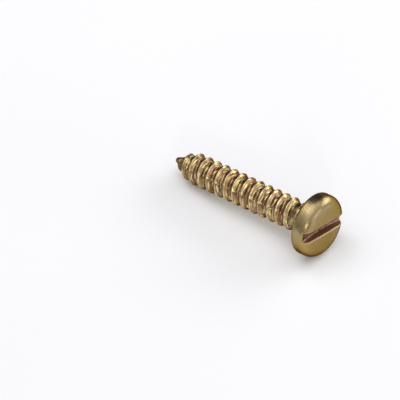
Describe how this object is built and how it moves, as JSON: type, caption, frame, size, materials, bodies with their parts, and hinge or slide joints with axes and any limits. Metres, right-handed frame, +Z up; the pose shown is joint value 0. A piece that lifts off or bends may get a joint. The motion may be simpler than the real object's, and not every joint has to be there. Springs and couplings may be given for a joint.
{
  "type": "self-tapping screw",
  "caption": "Slotted pan head self-tapping screw with a cone point, threaded almost up to the head, for fixing into sheet metal.",
  "frame": {"origin": "on the table under the middle of the screw's box, as it lies on its side", "axes": "+X runs from the tip towards the head in plan, +Z up; the axis rises towards the head by 6.04 degrees"},
  "size_m": [0.028, 0.0094, 0.0095],
  "materials": {
    "plated_steel": "yellow-chromate zinc plating over rolled steel, satin with iridescent patches"
  },
  "bodies": {
    "root": {"screw": "plated_steel"}
  },
  "joints": []
}
